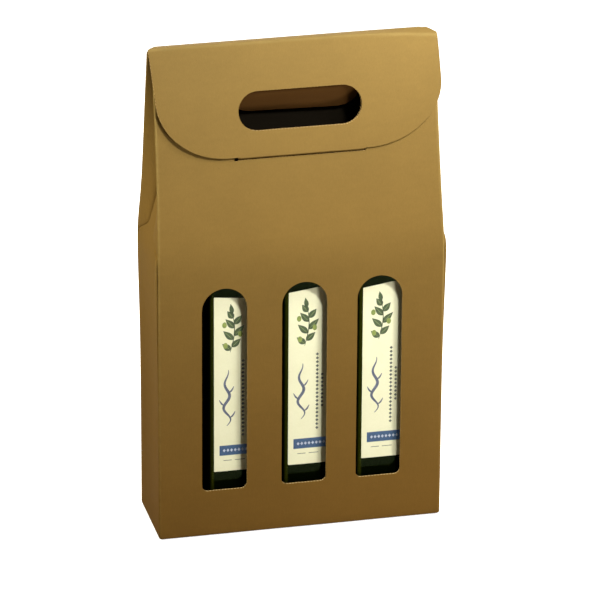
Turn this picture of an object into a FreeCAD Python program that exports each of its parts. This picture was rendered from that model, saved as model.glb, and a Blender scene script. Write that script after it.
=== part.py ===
import FreeCAD, Part
import math
import os

# Three-bottle carrier carton of thin fluted card, standing on its base.
# +Z is up, the front with the three windows faces -Y, the origin is the middle of the base.

# Carton
box_width = 240.0
box_depth = 76.0
shoulder_height = 248.0
ridge_height = 419.0
ridge_depth = 7.6
card = 1.5
upright_fold_radius = 2.5
base_layers = 2
seam_width = 0.8
seam_depth = 0.5
glue_lap_width = 16.0
card_gap = 0.3

# Windows in the front panel
window_count = 3
window_pitch = 65.2
window_row_shift = 0.4
middle_window_shift = 1.9
window_width = 38.0
window_sill_height = 41.0
window_height = 180.4
window_corner_radius = 5.0

# Carry hole through the closing flap and the front gable panel
carry_hole_width = 102.8
carry_hole_height = 32.7
carry_hole_drop = 39.0
carry_hole_shift = 2.6
tab_angle = 49.0
tab_kerf = 0.4

# Closing flap
flap_length = 94.0
flap_top_width = 238.0
flap_side_taper = 3.0
flap_corner_width = 59.0
flap_corner_height = 51.0
flap_fold_radius = 1.2
ridge_corner_cut = 7.0
tongue_width = 106.0
tongue_length = 11.0
slit_clearance = 0.4

# Bottles
bottle_size = 42.0
bottle_edge_radius = 5.0
bottle_body_height = 220.0
bottle_shoulder_height = 16.0
neck_radius = 12.0
neck_length = 26.0
glass_wall = 2.5
glass_base = 4.0
bottle_pitch = 62.7
bottle_row_shift = 8.0
bottle_front_gap = 8.0
seat_gap = 0.1

# Oil, pourer, cap and neck seal
oil_gap = 0.2
oil_air_height = 12.0
pourer_gap = 0.2
pourer_depth = 14.0
pourer_spout_radius = 5.0
pourer_spout_height = 4.0
pourer_bore_radius = 2.5
cap_gap = 0.3
cap_wall = 1.4
cap_height = 20.0
seal_gap = 0.2
seal_wall = 0.5
seal_height = 34.0

# Label on each bottle
label_width = 34.0
label_height = 159.5
label_lift = 50.5
label_thickness = 0.3
label_gap = 0.1

# Divider sheet between the bottles
divider_height = 190.0
divider_clearance = 0.5
divider_front_gap = 6.0
divider_fold_gap = 0.6

# Values that follow from the sizes above
half_width = box_width / 2.0
half_depth = box_depth / 2.0
ridge_half = ridge_depth / 2.0
gable_height = ridge_height - shoulder_height
lean = math.atan2(half_depth - ridge_half, gable_height)
floor_z = card * base_layers
hinge_y = ridge_half + card_gap
hinge_z = ridge_height + card_gap
front_inner_y = -half_depth + card
bottle_y = front_inner_y + bottle_front_gap + bottle_size / 2.0
bottle_base_z = floor_z + seat_gap
bottle_top_z = bottle_base_z + bottle_body_height + bottle_shoulder_height + neck_length
carry_hole_centre = (carry_hole_shift, -carry_hole_drop - carry_hole_height / 2.0)


def vec(x, y, z):
    return FreeCAD.Vector(x, y, z)


def line(a, b):
    return Part.LineSegment(a, b).toShape()


def arc(a, b, c):
    return Part.Arc(a, b, c).toShape()


def profile_along_x(points, x_from, x_to):
    """Prism from a closed outline of (y, z) points, between two x values."""
    ring = [vec(x_from, y, z) for y, z in points]
    face = Part.Face(Part.makePolygon(ring + [ring[0]]))
    return face.extrude(vec(x_to - x_from, 0, 0))


def profile_along_y(points, y_from, y_to):
    """Prism from a closed outline of (x, z) points, between two y values."""
    ring = [vec(x, y_from, z) for x, z in points]
    face = Part.Face(Part.makePolygon(ring + [ring[0]]))
    return face.extrude(vec(0, y_to - y_from, 0))


def rounded_rectangle(width, depth, radius, z, centre=(0.0, 0.0)):
    """Horizontal closed wire of a rectangle with round corners."""
    cx, cy = centre
    hx = width / 2.0
    hy = depth / 2.0
    k = radius * (1.0 - math.sqrt(0.5))
    corners = [(1, -1), (1, 1), (-1, 1), (-1, -1)]
    edges = []
    ends = []
    for i, (sx, sy) in enumerate(corners):
        on_x = vec(cx + sx * hx, cy + sy * (hy - radius), z)
        on_y = vec(cx + sx * (hx - radius), cy + sy * hy, z)
        middle = vec(cx + sx * (hx - k), cy + sy * (hy - k), z)
        first, last = (on_y, on_x) if i % 2 == 0 else (on_x, on_y)
        ends.append((first, middle, last))
    for i in range(4):
        first, middle, last = ends[i]
        edges.append(arc(first, middle, last))
        edges.append(line(last, ends[(i + 1) % 4][0]))
    return Part.Wire(edges)


def rounded_block(width, depth, radius, z_from, z_to, centre=(0.0, 0.0)):
    face = Part.Face(rounded_rectangle(width, depth, radius, z_from, centre))
    return face.extrude(vec(0, 0, z_to - z_from))


def gable_half_depth(z, inset):
    """Half depth at height z of the two leaning panels, less an inset."""
    share = (z - shoulder_height) / gable_height
    return half_depth + (ridge_half - half_depth) * share - inset


def gable_prism(inset, z_top, x_reach):
    """Block between the two leaning panels."""
    low = gable_half_depth(shoulder_height, inset)
    high = gable_half_depth(z_top, inset)
    points = [(-low, shoulder_height), (low, shoulder_height), (high, z_top), (-high, z_top)]
    return profile_along_x(points, -x_reach, x_reach)


def side_fold_x(z, inset):
    """Distance from the middle of the leaning side panel at height z."""
    return half_width - inset - (z - shoulder_height) * half_depth / gable_height


def on_front_gable(shape):
    """Puts a shape drawn flat on the front gable panel, with its y axis up the panel."""
    turn = FreeCAD.Rotation(vec(1, 0, 0), 90.0 - math.degrees(lean))
    seat = FreeCAD.Placement(vec(0, -ridge_half, ridge_height), turn)
    shape.Placement = seat.multiply(shape.Placement)
    return shape


def long_hole(width, height, centre, shrink, z_from, z_to):
    """Flat long round-ended prism, drawn for the front gable panel."""
    cx, cy = centre
    radius = height / 2.0 - shrink
    reach = width / 2.0 - shrink - radius
    a = vec(cx - reach, cy - radius, z_from)
    b = vec(cx + reach, cy - radius, z_from)
    c = vec(cx + reach, cy + radius, z_from)
    d = vec(cx - reach, cy + radius, z_from)
    right = arc(b, vec(cx + reach + radius, cy, z_from), c)
    left = arc(d, vec(cx - reach - radius, cy, z_from), a)
    wire = Part.Wire([line(a, b), right, line(c, d), left])
    return Part.Face(wire).extrude(vec(0, 0, z_to - z_from))


def swing_strip(r_in, r_out, angle_from, angle_to, x_from, x_to):
    """Curved strip about the flap's fold line, angles in radians from straight down."""

    def at(r, a):
        return vec(x_from, hinge_y - r * math.sin(a), hinge_z - r * math.cos(a))

    middle = (angle_from + angle_to) / 2.0
    edges = [
        arc(at(r_in, angle_from), at(r_in, middle), at(r_in, angle_to)),
        line(at(r_in, angle_to), at(r_out, angle_to)),
        arc(at(r_out, angle_to), at(r_out, middle), at(r_out, angle_from)),
        line(at(r_out, angle_from), at(r_in, angle_from)),
    ]
    return Part.Face(Part.Wire(edges)).extrude(vec(x_to - x_from, 0, 0))


def gable_point(drop, lift):
    """(y, z) of a point down the front gable panel and off its outer face."""
    y = -ridge_half - drop * math.sin(lean) - lift * math.cos(lean)
    z = ridge_height - drop * math.cos(lean) + lift * math.sin(lean)
    return y, z


def swing_of(drop, lift):
    """Radius and angle about the flap's fold line of a point on the gable panel."""
    y, z = gable_point(drop, lift)
    return math.hypot(hinge_y - y, hinge_z - z), math.atan2(hinge_y - y, hinge_z - z)


def carton_outside():
    foot = rounded_rectangle(box_width, box_depth, upright_fold_radius, shoulder_height)
    top = rounded_rectangle(box_width, ridge_depth, upright_fold_radius, ridge_height)
    body = rounded_block(box_width, box_depth, upright_fold_radius, 0.0, shoulder_height)
    gable = Part.makeLoft([foot, top], True, True)
    return body.fuse(gable).removeSplitter()


def carton_hollow():
    over = ridge_height + card
    inner_radius = upright_fold_radius - card
    width = box_width - 2.0 * card
    depth = box_depth - 2.0 * card
    body = rounded_block(width, depth, inner_radius, floor_z, shoulder_height)
    between_panels = gable_prism(card, over, half_width)
    low = side_fold_x(shoulder_height, card)
    high = side_fold_x(over, card)
    outline = [(-low, shoulder_height), (low, shoulder_height), (high, over), (-high, over)]
    between_sides = profile_along_y(outline, -half_depth, half_depth)
    return body.fuse(between_panels.common(between_sides)).removeSplitter()


def side_recesses():
    """Open wedges outside the leaning side panels, between the folded wings."""
    over = ridge_height + card
    beyond = half_width + card
    wedge = gable_prism(2.0 * card, over, beyond)
    low = side_fold_x(shoulder_height, 0.0)
    high = side_fold_x(over, 0.0)
    recesses = []
    for side in (-1, 1):
        outline = [(side * low, shoulder_height), (side * beyond, shoulder_height),
                   (side * beyond, over), (side * high, over)]
        recesses.append(wedge.common(profile_along_y(outline, -half_depth, half_depth)))
    return recesses


def window_outline(centre_x):
    """Arched window prism through the front panel."""
    y = -half_depth - card
    radius = window_width / 2.0
    left = centre_x - radius
    right = centre_x + radius
    sill = window_sill_height
    spring = sill + window_height - radius
    r = window_corner_radius
    k = r * (1.0 - math.sqrt(0.5))
    edges = [
        line(vec(left + r, y, sill), vec(right - r, y, sill)),
        arc(vec(right - r, y, sill), vec(right - k, y, sill + k), vec(right, y, sill + r)),
        line(vec(right, y, sill + r), vec(right, y, spring)),
        arc(vec(right, y, spring), vec(centre_x, y, spring + radius), vec(left, y, spring)),
        line(vec(left, y, spring), vec(left, y, sill + r)),
        arc(vec(left, y, sill + r), vec(left + k, y, sill + k), vec(left + r, y, sill)),
    ]
    return Part.Face(Part.Wire(edges)).extrude(vec(0, 3.0 * card, 0))


def window_x(index):
    """Middle of a window along the front; the middle one stands a little to the right."""
    middle = (window_count - 1) / 2.0
    shift = middle_window_shift if index == middle else 0.0
    return window_row_shift + shift + window_pitch * (index - middle)


def window_cuts():
    return [window_outline(window_x(i)) for i in range(window_count)]


def carry_hole_cut(reach_out):
    hole = long_hole(carry_hole_width, carry_hole_height, carry_hole_centre, 0.0,
                     -2.0 * card, reach_out)
    return on_front_gable(hole)


def push_in_tab():
    """Card cut from the carry hole, folded inward about the hole's upper edge."""
    tab = long_hole(carry_hole_width, carry_hole_height, carry_hole_centre, tab_kerf,
                    -card, 0.0)
    tab.translate(vec(0, tab_kerf, 0))
    tab.rotate(vec(0, -carry_hole_drop, 0), vec(1, 0, 0), tab_angle)
    return on_front_gable(tab)


def tuck_slit():
    """Cut in the front gable panel that the flap's tongue slides into."""
    radius, angle_out = swing_of(flap_length, card_gap + card)
    angle_in = swing_of(flap_length, -3.0 * card)[1]
    reach = tongue_width / 2.0 + slit_clearance
    return swing_strip(radius - card - slit_clearance, radius + slit_clearance,
                       angle_in, angle_out, carry_hole_shift - reach, carry_hole_shift + reach)


def base_seams():
    """Grooves on the underside where the glued base flaps meet."""
    inner = half_width - half_depth
    runs = [((-inner, 0.0), (inner, 0.0))]
    for side in (-1, 1):
        for way in (-1, 1):
            runs.append(((side * inner, 0.0), (side * half_width, way * half_depth)))
    grooves = []
    for (x0, y0), (x1, y1) in runs:
        length = math.hypot(x1 - x0, y1 - y0)
        groove = Part.makeBox(length, seam_width, 2.0 * seam_depth,
                              vec(0, -seam_width / 2.0, -seam_depth))
        turn = FreeCAD.Rotation(vec(0, 0, 1), math.degrees(math.atan2(y1 - y0, x1 - x0)))
        groove.Placement = FreeCAD.Placement(vec(x0, y0, 0), turn)
        grooves.append(groove)
    return grooves


def glue_lap():
    """Second layer of card inside the back wall, at the corner where the blank is joined."""
    return Part.makeBox(glue_lap_width, card, shoulder_height - floor_z,
                        vec(-half_width + card / 2.0, half_depth - 2.0 * card, floor_z))


def back_carry_line():
    """Shallow cut line of the unopened carry hole in the back gable panel."""
    outer = long_hole(carry_hole_width, carry_hole_height, carry_hole_centre, 0.0,
                      -card / 3.0, card)
    inner = long_hole(carry_hole_width, carry_hole_height, carry_hole_centre, tab_kerf,
                      -card, 2.0 * card)
    ring = on_front_gable(outer.cut(inner))
    return ring.mirror(vec(0, 0, 0), vec(0, 1, 0))


def make_carton():
    shell = carton_outside().cut(carton_hollow())
    shell = shell.fuse(glue_lap())
    cuts = side_recesses() + window_cuts() + base_seams()
    cuts += [carry_hole_cut(card), tuck_slit(), back_carry_line()]
    for tool in cuts:
        shell = shell.cut(tool)
    return shell.fuse(push_in_tab()).removeSplitter()


def flap_profile():
    """Ridge strip and front plate as one folded sheet."""
    inner_low = gable_point(flap_length, card_gap)
    outer_low = gable_point(flap_length, card_gap + card)

    def on_plane(z, lift):
        drop = (ridge_height + lift * math.sin(lean) - z) / math.cos(lean)
        return gable_point(drop, lift)

    top_z = hinge_z + card
    inner_fold = on_plane(hinge_z, card_gap)
    outer_fold = on_plane(top_z, card_gap + card)
    points = [(hinge_y, hinge_z), inner_fold, inner_low, outer_low, outer_fold, (hinge_y, top_z)]
    sheet = profile_along_x(points, -half_width, half_width)
    folds = []
    for edge in sheet.Edges:
        a = edge.Vertexes[0].Point
        b = edge.Vertexes[-1].Point
        along_x = abs(a.y - b.y) < 1e-6 and abs(a.z - b.z) < 1e-6
        if along_x and abs(a.z - top_z) < 1e-6:
            folds.append(edge)
    return sheet.makeFillet(flap_fold_radius, folds)


def flap_outline():
    """Outline of the closing flap, wide round lower corners and slightly tapered sides."""
    top = flap_top_width / 2.0
    side = top - flap_side_taper
    start = -flap_length + flap_corner_height
    flat = side - flap_corner_width
    bend = 0.5523
    z = -3.0 * card
    above = 2.0 * card

    def corner(s):
        curve = Part.BezierCurve()
        curve.setPoles([
            vec(s * side, start, z),
            vec(s * side, start - bend * flap_corner_height, z),
            vec(s * (side - (1.0 - bend) * flap_corner_width), -flap_length, z),
            vec(s * flat, -flap_length, z),
        ])
        return curve.toShape()

    edges = [
        line(vec(-top, above, z), vec(-side, start, z)),
        corner(-1),
        line(vec(-flat, -flap_length, z), vec(flat, -flap_length, z)),
        corner(1),
        line(vec(side, start, z), vec(top, above, z)),
        line(vec(top, above, z), vec(-top, above, z)),
    ]
    prism = Part.Face(Part.Wire(Part.__sortEdges__(edges))).extrude(vec(0, 0, 9.0 * card))
    return on_front_gable(prism)


def make_lid_flap():
    plate_side = profile_along_x(
        [(-half_depth, 0.0), (-ridge_half, 0.0), (-ridge_half, 2.0 * ridge_height),
         (-half_depth, 2.0 * ridge_height)], -half_width, half_width)
    sheet = flap_profile()
    plate = sheet.common(plate_side).common(flap_outline())
    strip = sheet.cut(plate_side)
    strip_reach = flap_top_width / 2.0
    z0 = hinge_z - card
    z1 = hinge_z + 3.0 * card
    ring = [(-strip_reach, -ridge_half), (strip_reach, -ridge_half),
            (strip_reach - ridge_corner_cut, hinge_y), (-strip_reach + ridge_corner_cut, hinge_y)]
    points = [vec(x, y, z0) for x, y in ring]
    strip_shape = Part.Face(Part.makePolygon(points + [points[0]])).extrude(vec(0, 0, z1 - z0))
    lid = plate.fuse(strip.common(strip_shape))
    lid = lid.cut(carry_hole_cut(3.0 * card))
    radius, angle_out = swing_of(flap_length, card_gap + card)
    angle_in = angle_out - (tongue_length + card) / radius
    left = carry_hole_shift - tongue_width / 2.0
    right = carry_hole_shift + tongue_width / 2.0
    tongue = swing_strip(radius - card, radius, angle_in, angle_out, left, right)
    return lid.fuse(tongue).removeSplitter()


def bottle_x(index):
    return bottle_row_shift + bottle_pitch * (index - (window_count - 1) / 2.0)


def bottle_form(x, inset, z_low, z_body, z_shoulder, z_top, neck):
    """Square body, sloping shoulder and round neck as one solid."""
    size = bottle_size - 2.0 * inset
    radius = bottle_edge_radius - inset
    body = rounded_block(size, size, radius, z_low, z_body, (x, bottle_y))
    low = rounded_rectangle(size, size, radius, z_body, (x, bottle_y))
    side = 2.0 * neck
    high = rounded_rectangle(side, side, 0.9 * neck, z_shoulder, (x, bottle_y))
    shoulder = Part.makeLoft([low, high], True, True)
    stem = Part.makeCylinder(neck, z_top - z_shoulder + 1.0, vec(x, bottle_y, z_shoulder - 1.0))
    return body.fuse(shoulder).fuse(stem).removeSplitter()


def make_bottle(x):
    z_body = bottle_base_z + bottle_body_height
    z_shoulder = z_body + bottle_shoulder_height
    outside = bottle_form(x, 0.0, bottle_base_z, z_body, z_shoulder, bottle_top_z, neck_radius)
    bore = neck_radius - glass_wall
    inside = bottle_form(x, glass_wall, bottle_base_z + glass_base, z_body, z_shoulder,
                         bottle_top_z + 1.0, bore)
    return outside.cut(inside)


def make_oil(x):
    inset = glass_wall + oil_gap
    z_body = bottle_base_z + bottle_body_height
    level = z_body - oil_air_height
    low = bottle_base_z + glass_base + oil_gap
    size = bottle_size - 2.0 * inset
    return rounded_block(size, size, bottle_edge_radius - inset, low, level, (x, bottle_y))


def make_pourer(x):
    """Plug pressed into the neck, with a small spout above it."""
    plug_radius = neck_radius - glass_wall - pourer_gap
    plug = Part.makeCylinder(plug_radius, pourer_depth, vec(x, bottle_y, bottle_top_z - pourer_depth))
    rim = Part.makeCylinder(neck_radius - pourer_gap, card, vec(x, bottle_y, bottle_top_z + pourer_gap))
    core = Part.makeCylinder(plug_radius - glass_wall, card, vec(x, bottle_y, bottle_top_z - card / 2.0))
    spout_z = bottle_top_z + pourer_gap + card
    spout = Part.makeCylinder(pourer_spout_radius, pourer_spout_height, vec(x, bottle_y, spout_z))
    bore_z = bottle_top_z - pourer_depth
    bore = Part.makeCylinder(pourer_bore_radius, ridge_height, vec(x, bottle_y, bore_z - 1.0))
    return plug.fuse(core).fuse(rim).fuse(spout).cut(bore).removeSplitter()


def cap_top_z():
    spout_top = bottle_top_z + pourer_gap + card + pourer_spout_height
    return spout_top + cap_gap + cap_wall


def make_cap(x):
    """Screw cap over the pourer and the neck's upper end."""
    outer_radius = neck_radius + cap_gap + cap_wall
    top = cap_top_z()
    shell = Part.makeCylinder(outer_radius, cap_height, vec(x, bottle_y, top - cap_height))
    hollow = Part.makeCylinder(neck_radius + cap_gap, cap_height - cap_wall,
                               vec(x, bottle_y, top - cap_height))
    return shell.cut(hollow)


def make_neck_seal(x):
    """Thin shrunk sleeve over the cap, open in the middle of its top."""
    inner_radius = neck_radius + cap_gap + cap_wall + seal_gap
    outer_radius = inner_radius + seal_wall
    top = cap_top_z() + seal_gap
    sleeve = Part.makeCylinder(outer_radius, seal_height, vec(x, bottle_y, top + seal_wall - seal_height))
    hollow = Part.makeCylinder(inner_radius, seal_height, vec(x, bottle_y, top - seal_height))
    eye = Part.makeCylinder(neck_radius / 2.0, 4.0 * card, vec(x, bottle_y, top - card))
    return sleeve.cut(hollow).cut(eye)


def make_label(x):
    y = bottle_y - bottle_size / 2.0 - label_gap - label_thickness
    return Part.makeBox(label_width, label_thickness, label_height,
                        vec(x - label_width / 2.0, y, bottle_base_z + label_lift))


def make_divider():
    """Folded sheet against the back wall with two doubled fins that part the bottles."""
    back_y = half_depth - 2.0 * card - divider_clearance
    front_y = front_inner_y + divider_front_gap
    reach = half_width - card - divider_clearance
    low = bottle_base_z
    sheet = Part.makeBox(2.0 * reach, card, divider_height, vec(-reach, back_y - card, low))
    fin_thickness = 2.0 * card + divider_fold_gap
    for i in range(window_count - 1):
        x = (bottle_x(i) + bottle_x(i + 1)) / 2.0
        fin = Part.makeBox(fin_thickness, back_y - front_y, divider_height,
                           vec(x - fin_thickness / 2.0, front_y, low))
        fold = Part.makeBox(divider_fold_gap, back_y - front_y, divider_height,
                            vec(x - divider_fold_gap / 2.0, front_y + card, low))
        sheet = sheet.fuse(fin).cut(fold)
    return sheet.removeSplitter()


def save(shape, name):
    solids = shape.Solids
    piece = solids[0] if len(solids) == 1 else shape
    piece.exportStep(os.path.join("parts", name + ".step"))


def main():
    os.makedirs("parts", exist_ok=True)
    save(make_carton(), "carton")
    save(make_lid_flap(), "lid_flap")
    save(make_divider(), "divider")
    for index in range(window_count):
        x = bottle_x(index)
        number = str(index + 1)
        save(make_bottle(x), "bottle_" + number)
        save(make_oil(x), "oil_" + number)
        save(make_pourer(x), "pourer_" + number)
        save(make_cap(x), "cap_" + number)
        save(make_neck_seal(x), "neck_seal_" + number)
        save(make_label(x), "label_" + number)


main()
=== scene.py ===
import math

import bmesh
import bpy
from mathutils import Matrix, Vector
from mathutils.geometry import delaunay_2d_cdt


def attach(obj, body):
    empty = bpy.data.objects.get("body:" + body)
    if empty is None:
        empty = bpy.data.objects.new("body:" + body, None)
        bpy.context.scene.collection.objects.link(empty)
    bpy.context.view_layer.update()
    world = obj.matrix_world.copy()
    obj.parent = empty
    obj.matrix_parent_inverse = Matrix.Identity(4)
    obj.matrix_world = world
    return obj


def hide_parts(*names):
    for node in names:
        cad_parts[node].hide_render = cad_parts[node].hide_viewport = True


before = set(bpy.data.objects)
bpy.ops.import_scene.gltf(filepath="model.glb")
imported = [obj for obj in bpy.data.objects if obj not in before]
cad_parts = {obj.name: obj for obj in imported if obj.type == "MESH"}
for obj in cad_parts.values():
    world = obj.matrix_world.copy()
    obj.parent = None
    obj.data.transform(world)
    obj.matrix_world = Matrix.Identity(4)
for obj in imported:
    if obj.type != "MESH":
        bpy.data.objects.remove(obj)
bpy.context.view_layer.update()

# In metres: a millimetre, and the waves of the flutes on a face and along a cut edge
MM = 0.001
FLUTE_PITCH = 0.0021
EDGE_PITCH = 0.0026

# Carton, in millimetres, with the sizes that the solids have
WIDTH = 240.0
DEPTH = 76.0
SHOULDER = 248.0
RIDGE = 419.0
RIDGE_DEPTH = 7.6
CARD = 1.5
HALF = WIDTH / 2.0
HALF_DEPTH = DEPTH / 2.0
RIDGE_HALF = RIDGE_DEPTH / 2.0
LEAN = math.atan2(HALF_DEPTH - RIDGE_HALF, RIDGE - SHOULDER)
SIDE_LEAN = math.atan2(HALF_DEPTH, RIDGE - SHOULDER)

# Windows, carry hole and tuck slit
WINDOW_X = (-64.8, 2.3, 65.6)
WINDOW_W = 38.0
WINDOW_SILL = 41.0
WINDOW_H = 180.4
WINDOW_R = 5.0
HOLE_W = 102.8
HOLE_H = 32.7
HOLE_DROP = 39.0
HOLE_X = 2.6
HOLE_Y = -HOLE_DROP - HOLE_H / 2.0
SLIT_SPARE = 0.6
SLIT_BELOW = 0.9
SLIT_ABOVE = 2.0
CUT_REACH = 4.0
HOLE_GROOVE = 0.7
HOLE_GROOVE_DEPTH = 0.55
SEAM_HALF = 0.35
SEAM_DEPTH = 0.5

# Bends, bows and rounded ends of the folded card
BEND_RADIUS = 170.0
SIDE_BEND_RADIUS = 90.0
FOLD_RADIUS = 1.9
FOOT_RADIUS = 2.2
SHOULDER_GIVE = 1.9
GIVE_RUN_BELOW = 70.0
GIVE_RUN_ABOVE = 35.0
DRAW_LEFT = 3.1
DRAW_RIGHT = 2.3
DRAW_RUN = 60.0
BOX_BOW = 0.45
GABLE_BOW = -0.7
REAR_BOW_SHARE = 0.6
RIPPLE = 0.12
RIPPLE_X = 0.051
RIPPLE_Z = 0.034
FLANK_FILL = 0.7
FLANK_RISE = 20.0
SIDE_DENT = -1.4
DIP_START = 380.0
DIP_GAP = 0.2
RIDGE_END = 12.0
END_DROP_LEFT = 2.5
END_DROP_RIGHT = 7.0

# Points of the carton's rings
FOLD_STEPS = 7
FLANK_STEPS = 8
SIDE_STEPS = 6
PANEL_SHARES = [0.0, 0.006, 0.013] + [i / 48.0 for i in range(1, 48)] + [0.987, 0.994, 1.0]

# Carry tab
TAB_ANGLE = math.radians(49.0)
TAB_SPARE = 0.8
TAB_TWIST = 0.06

# Closing flap and the fold that carries it. Its two sides: half width at the fold,
# half width above the corner, width of the corner
FLAP_LENGTH = 94.0
FLAP_TOP = 238.0
FREE_EDGE = FLAP_LENGTH - 1.8
CORNER_W = 59.0
CORNER_H = 51.0
CORNER_CUT = 7.0
BEZIER_ROUND = 0.5523
FLAP_SIDES = {-1: (120.4, 116.4, CORNER_W), 1: (118.6, 120.4, CORNER_W + 4.0)}
TONGUE_W = 106.0
TONGUE_L = 11.0
TONGUE_R = 1.6
HINGE_OFF = 0.3
HINGE_Y = RIDGE_HALF + HINGE_OFF
HINGE_Z = RIDGE + HINGE_OFF
FLAP_GAP = 0.38
PLATE = FLAP_GAP + CARD
FOLD_DROP = (RIDGE + PLATE * math.sin(LEAN) - HINGE_Z - CARD) / math.cos(LEAN)
FOLD_EASE = 2.0
SLOPE_STEP = 0.05
SAG = 5.4
SAG_START = 30.0
SAG_RUN = 89.0
CREASE_Y = 2.95
CREASE_LEFT = -113.0
CREASE_RIGHT = 111.2
CREASE_END = 5.0
CREASE_ROUND = 0.8
CREASE_GAP = 0.1
CREASE_STEPS = 112

# Labels. Top: how far the upper edge is cut down at its left and right end
LABEL_X = (-54.7, 8.0, 70.7)
LABEL_W = 34.0
LABEL_H = 159.5
LABEL_Z = 53.6
LABEL_FACE = -28.6 - 0.33
LABEL_TOP = ((2.9, 6.0), (4.4, 0.0), (5.6, 0.5))
LABEL_THICK = 0.2
PRINT_THICK = 0.03
FIRST_INK = 0.02
SECOND_INK = 0.05
THIRD_INK = 0.08
BAND_LOW = 14.2
BAND_HIGH = 23.2
# Twig: place along it, side and length of each leaf, and the middle of each fruit
TWIG_LEAVES = ((0.05, -1, 9.5), (0.13, 1, 10.5), (0.32, -1, 12.0), (0.42, 1, 12.5),
               (0.62, -1, 11.5), (0.72, 1, 10.0), (0.88, -1, 8.5))
TWIG_FRUITS = ((-7.4, 113.0), (5.0, 122.6), (-8.2, 131.4))

# Camera: angles in degrees, distance and aim in millimetres, focal length in pixels
CAMERA_AZIMUTH = -13.409
CAMERA_ELEVATION = 23.006
CAMERA_ROLL = 0.381
CAMERA_DISTANCE = 3989.0
CAMERA_AIM = (7.284, 0.0, 189.065)
CAMERA_FOCAL = 4833.6
FRAME_PIXELS = 600.0
SENSOR = 36.0

# Lamps: name, place, aim, size, power and colour
LAMPS = (
    ("key", (0.15, -0.56, 0.82), (0.0, 0.0, 0.30), 0.08, 6.4, (1.0, 0.98, 0.90)),
    ("crown", (0.15, -0.20, 0.60), (0.02, 0.0, 0.36), 0.12, 0.88, (1.0, 0.98, 0.90)),
    ("side", (-0.62, -0.02, 0.62), (-0.12, 0.0, 0.26), 0.20, 4.2, (1.0, 0.90, 0.66)),
    ("right", (0.36, -0.60, 0.10), (0.03, 0.0, 0.10), 0.20, 1.9, (1.0, 0.97, 0.90)),
    ("flank", (0.80, 0.06, 0.50), (0.12, 0.0, 0.20), 0.30, 5.0, (1.0, 0.95, 0.84)),
    ("back", (0.20, 0.95, 0.70), (0.0, 0.0, 0.20), 0.40, 11.0, (1.0, 0.95, 0.84)),
)
FLOOR_HALF = 6.0
FLOOR_Z = -0.0006
FLOOR_BOUNCE = (0.08, 0.062, 0.040)
WORLD_FILL = 0.04
WORLD_WARM = (1.0, 0.86, 0.66)


def smooth(t):
    t = min(1.0, max(0.0, t))
    return t * t * (3.0 - 2.0 * t)


def lerp(a, b, t):
    return a + (b - a) * t


# Shader helpers


def nodes_of(name):
    mat = bpy.data.materials.new(name)
    mat.use_nodes = True
    tree = mat.node_tree
    tree.nodes.clear()
    out = tree.nodes.new("ShaderNodeOutputMaterial")
    shader = tree.nodes.new("ShaderNodeBsdfPrincipled")
    tree.links.new(shader.outputs[0], out.inputs[0])
    return mat, tree, shader


def object_coord(tree):
    return tree.nodes.new("ShaderNodeTexCoord").outputs["Object"]


def axes(tree, vector):
    """X, Y and Z of a vector."""
    node = tree.nodes.new("ShaderNodeSeparateXYZ")
    tree.links.new(vector, node.inputs[0])
    return node.outputs


def noise(tree, coord, scale, detail=3.0, rough=0.55, distort=0.0):
    node = tree.nodes.new("ShaderNodeTexNoise")
    node.inputs["Scale"].default_value = scale
    node.inputs["Detail"].default_value = detail
    node.inputs["Roughness"].default_value = rough
    node.inputs["Distortion"].default_value = distort
    tree.links.new(coord, node.inputs["Vector"])
    return node.outputs["Fac"]


def stretch(tree, coord, scale, turn=(0, 0, 0)):
    node = tree.nodes.new("ShaderNodeMapping")
    node.inputs["Scale"].default_value = scale
    node.inputs["Rotation"].default_value = turn
    tree.links.new(coord, node.inputs["Vector"])
    return node.outputs["Vector"]


def ramp(tree, fac, stops):
    node = tree.nodes.new("ShaderNodeValToRGB")
    els = node.color_ramp.elements
    while len(els) < len(stops):
        els.new(0.5)
    for el, (pos, col) in zip(els, stops):
        el.position = pos
        el.color = (*col, 1.0)
    tree.links.new(fac, node.inputs["Fac"])
    return node.outputs["Color"]


def mix(tree, fac, a, b, kind="MIX"):
    node = tree.nodes.new("ShaderNodeMix")
    node.data_type = "RGBA"
    node.blend_type = kind
    for value, socket in ((fac, node.inputs[0]), (a, node.inputs[6]), (b, node.inputs[7])):
        if isinstance(value, bpy.types.NodeSocket):
            tree.links.new(value, socket)
        elif isinstance(value, tuple):
            socket.default_value = (*value, 1.0)
        else:
            socket.default_value = value
    return node.outputs[2]


def math_node(tree, op, *values):
    node = tree.nodes.new("ShaderNodeMath")
    node.operation = op
    for value, socket in zip(values, node.inputs):
        if isinstance(value, bpy.types.NodeSocket):
            tree.links.new(value, socket)
        else:
            socket.default_value = value
    return node.outputs[0]


def bump(tree, height, strength, distance, normal=None):
    node = tree.nodes.new("ShaderNodeBump")
    node.inputs["Strength"].default_value = strength
    node.inputs["Distance"].default_value = distance
    tree.links.new(height, node.inputs["Height"])
    if normal is not None:
        tree.links.new(normal, node.inputs["Normal"])
    return node.outputs["Normal"]


def flute_wave(tree, along, pitch):
    return math_node(tree, "SINE", math_node(tree, "MULTIPLY", along, 2.0 * math.pi / pitch))


def scaled(colour, *factors):
    if len(factors) == 1:
        factors = factors * 3
    return tuple(min(1.0, c * k) for c, k in zip(colour, factors))


# Materials


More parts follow.
